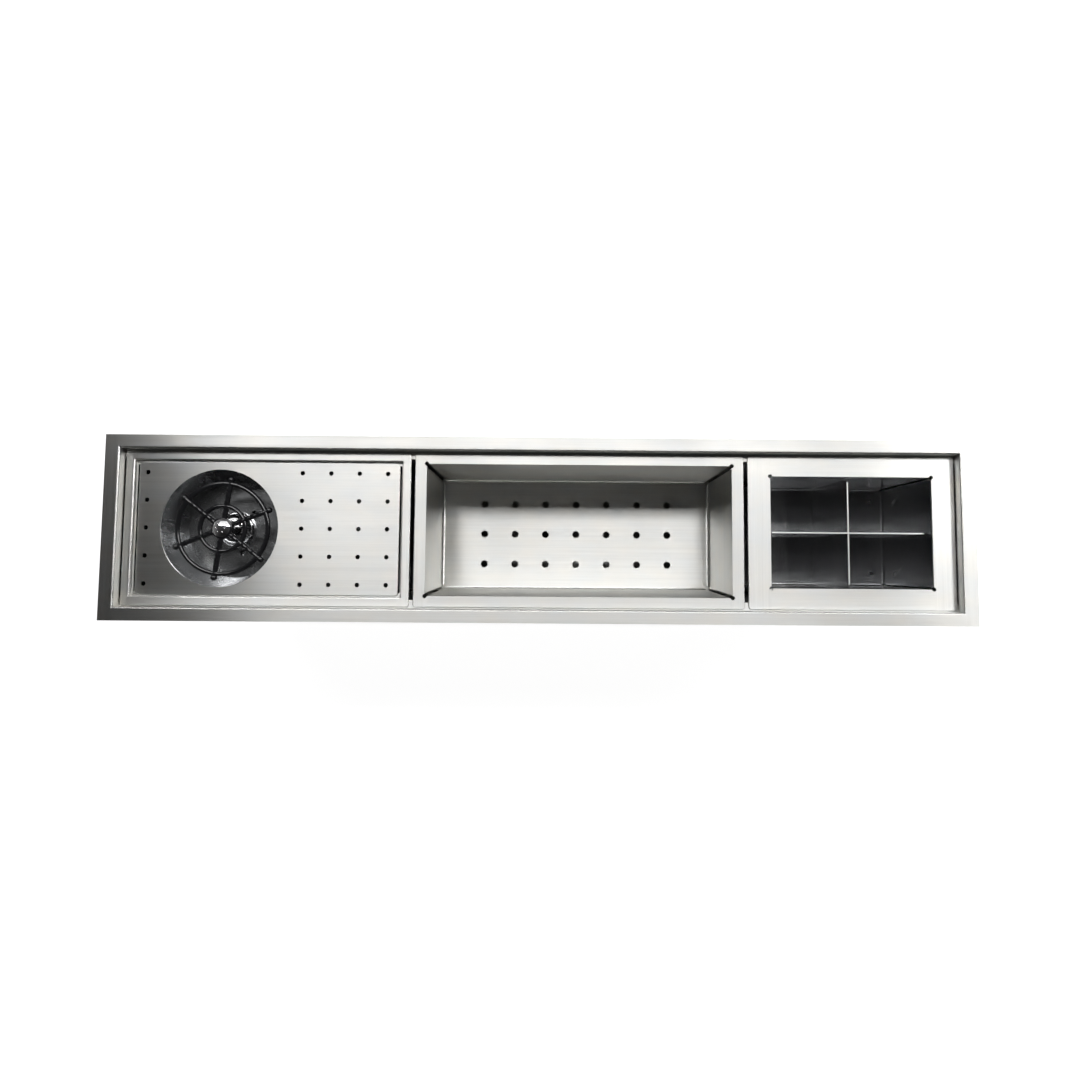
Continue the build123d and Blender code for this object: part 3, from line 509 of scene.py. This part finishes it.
def dress_fittings():
    """The finishes of the rinser, drain and seals, and those of them that a thread needs."""
    bowl = polished("bowl_polished", BOWL_STEEL, rough=0.24, marks=0.05)
    drain = brushed_steel("drain_satin", DRAIN_STEEL, anisotropy=DRAIN_ANISOTROPY)
    chrome = polished("chrome", CHROME, rough=0.05, marks=0.02)
    brass = turned("brass_turned", BRASS, rough=0.30)
    wire = turned("spring_wire", SPRING_WIRE, rough=0.25)
    black = moulded("black_moulded", BLACK_PLASTIC, rough=0.16, bump=GLOSSY_BUMP)
    grey = moulded("grey_moulded", GREY_PLASTIC, rough=0.55)
    white = moulded("white_moulded", WHITE_PLASTIC, rough=0.5)
    rubber = moulded("black_rubber", RUBBER, rough=0.72, grain=RUBBER_SKIN, bump=RUBBER_BUMP)
    dress(bowl, "rinser_bowl")
    dress(drain, "drain_body", "strainer_basket")
    dress(chrome, "guide_dome", "nozzle_cap", "strainer_post", "strainer_nut", "valve_body")
    dress(brass, "mounting_nut")
    dress(wire, "return_spring")
    dress(black, "rinser_star", "valve_stem", "poppet", "strainer_knob")
    dress(grey, "drain_lock_nut", "coupling_nut")
    dress(white, "tailpiece", "tailpiece_washer", "drain_friction_ring", "slip_washer")
    dress(rubber, "hose_grommet", "drain_top_seal", "drain_rubber_washer", "bowl_gasket")
    dress(rubber, "tray_washer", "stem_seal", "poppet_seal")
    return drain, chrome


def thread(name, body, material, axis, radius, low, high):
    """A thread's ridge: one helix of small triangles wound round a cylinder."""
    turns = (high - low) / THREAD_PITCH - 1.0
    steps = int(turns * THREAD_STEPS)
    fade_steps = FADE_TURNS * THREAD_STEPS
    mesh = bmesh.new()
    rows = []
    for k in range(steps + 1):
        angle = 2 * math.pi * k / THREAD_STEPS
        z = low + THREAD_PITCH / 2 + THREAD_PITCH * k / THREAD_STEPS
        fade = min(1.0, k / fade_steps, (steps - k) / fade_steps)
        ridge = radius + THREAD_PROUD * max(fade, LEAST_RIDGE)
        profile = (
            (radius, z - RIDGE_FOOT * THREAD_PITCH),
            (ridge, z - RIDGE_CREST * THREAD_PITCH),
            (ridge, z + RIDGE_CREST * THREAD_PITCH),
            (radius, z + RIDGE_FOOT * THREAD_PITCH),
            (radius - THREAD_PROUD / 2, z),
        )
        row = [(axis[0] + r * math.cos(angle), axis[1] + r * math.sin(angle), h) for r, h in profile]
        rows.append([mesh.verts.new(point) for point in row])
    for a, b in zip(rows, rows[1:]):
        for k in range(len(a)):
            mesh.faces.new((a[k], b[k], b[(k + 1) % len(b)], a[(k + 1) % len(a)]))
    mesh.faces.new(list(reversed(rows[0])))
    mesh.faces.new(rows[-1])
    bmesh.ops.recalc_face_normals(mesh, faces=mesh.faces)
    data = bpy.data.meshes.new(name)
    mesh.to_mesh(data)
    mesh.free()
    data.materials.append(material)
    obj = bpy.data.objects.new(name, data)
    bpy.context.scene.collection.objects.link(obj)
    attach(obj, body)


def upright_axis(node):
    """Where the upright axis of a round node stands in X and Y."""
    low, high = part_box(node)
    return (low[0] + high[0]) / 2, (low[1] + high[1]) / 2


def threads(steel, chrome):
    """The threads that show on the drain and on the rinser's valve, clear of their nuts."""
    drain = upright_axis("drain_body")
    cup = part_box("drain_body")[0][2] + NECK_LENGTH
    lock_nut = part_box("drain_lock_nut")[0][2]
    coupling_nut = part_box("coupling_nut")[1][2]
    thread("drain_cup_thread", "channel", steel, drain, CUP_RADIUS,
           cup + THREAD_CLEAR, lock_nut - THREAD_CLEAR)
    thread("drain_neck_thread", "channel", steel, drain, NECK_RADIUS,
           coupling_nut + THREAD_CLEAR, cup - THREAD_CLEAR)
    valve = upright_axis("valve_body")
    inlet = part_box("valve_body")[0][2] + INLET_LENGTH
    mounting_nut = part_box("mounting_nut")[0][2]
    thread("valve_shank_thread", "rinser_unit", chrome, valve, SHANK_RADIUS,
           inlet + THREAD_CLEAR, mounting_nut - THREAD_CLEAR)


def return_coil():
    """The valve's spring as a piece of its own with its own mesh; the real spring shortens as the sprinkler
    is pressed down.
    """
    coil = bpy.data.objects.new("return_coil", NODES["return_spring"].data.copy())
    bpy.context.scene.collection.objects.link(coil)
    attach(coil, "rinser_unit")
    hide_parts("return_spring")
    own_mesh(coil)


def floor():
    """A pale floor that glows a little, just under the sink."""
    half = FLOOR_SIZE / 2
    level = cad_bounds[0][2] - FLOOR_GAP
    corners = [(-half, -half, level), (half, -half, level), (half, half, level), (-half, half, level)]
    mesh = bpy.data.meshes.new("floor")
    mesh.from_pydata(corners, [], [(0, 1, 2, 3)])
    obj = bpy.data.objects.new("floor", mesh)
    bpy.context.scene.collection.objects.link(obj)
    s = Shader("floor_pale")
    cloud = s.noise(FLOOR_CLOUD, detail=2.0)
    s.link(s.tint(cloud, *FLOOR_SHADES), s.bsdf.inputs["Base Color"])
    s.set(roughness=FLOOR_ROUGHNESS, emission_strength=FLOOR_GLOW, emission_color=GLOW_COLOUR)
    mesh.materials.append(s.material)


def soft_light(name, place):
    """A flat rectangular light that faces down, of the same radiance all over."""
    (x0, x1), (y0, y1) = place["x"], place["y"]
    light = bpy.data.lights.new(name, "AREA")
    light.shape = "RECTANGLE"
    light.size = x1 - x0
    light.size_y = y1 - y0
    light.energy = place["radiance"] * math.pi * light.size * light.size_y
    obj = bpy.data.objects.new(name, light)
    obj.location = ((x0 + x1) / 2, (y0 + y1) / 2, LIGHT_HEIGHT)
    bpy.context.scene.collection.objects.link(obj)


def neutral(value):
    """A colour without hue."""
    return (value, value, value, 1)


def surroundings():
    """The world: it lights the steel, less from above and in front, and shows as a pale backdrop."""
    world = bpy.data.worlds.new("studio")
    bpy.context.scene.world = world
    world.use_nodes = True
    nodes = world.node_tree.nodes
    link = world.node_tree.links.new
    light = nodes["Background"]
    split = nodes.new("ShaderNodeSeparateXYZ")
    link(nodes.new("ShaderNodeTexCoord").outputs["Generated"], split.inputs["Vector"])

    ramp = nodes.new("ShaderNodeValToRGB")
    stops = ramp.color_ramp.elements
    stops[0].position = 0.0
    stops[0].color = neutral(HORIZON_LIGHT)
    stops[1].position = 1.0
    stops[1].color = neutral(ZENITH_LIGHT)
    stops.new(SKY_HEIGHT).color = neutral(SKY_LIGHT)
    link(split.outputs["Z"], ramp.inputs["Fac"])
    link(ramp.outputs["Color"], light.inputs["Color"])

    front = nodes.new("ShaderNodeMapRange")
    front.inputs["From Min"].default_value = FRONT_EDGE
    front.inputs["From Max"].default_value = 0.0
    front.inputs["To Min"].default_value = FRONT_SHARE
    front.inputs["To Max"].default_value = 1.0
    link(split.outputs["Y"], front.inputs["Value"])
    link(front.outputs["Result"], light.inputs["Strength"])

    backdrop = nodes.new("ShaderNodeBackground")
    backdrop.inputs["Color"].default_value = neutral(BACKDROP)
    seen = nodes.new("ShaderNodeMixShader")
    link(nodes.new("ShaderNodeLightPath").outputs["Is Camera Ray"], seen.inputs["Fac"])
    link(light.outputs["Background"], seen.inputs[1])
    link(backdrop.outputs["Background"], seen.inputs[2])
    link(seen.outputs["Shader"], nodes["World Output"].inputs["Surface"])


def plain_view():
    """Plain colour management."""
    view = bpy.context.scene.view_settings
    view.view_transform = "Standard"
    view.look = "None"
    view.exposure = 0.0


camera()
dress_sheets()
threads(*dress_fittings())
return_coil()
floor()
for light_name, light_place in LIGHTS.items():
    soft_light(light_name, light_place)
surroundings()
plain_view()
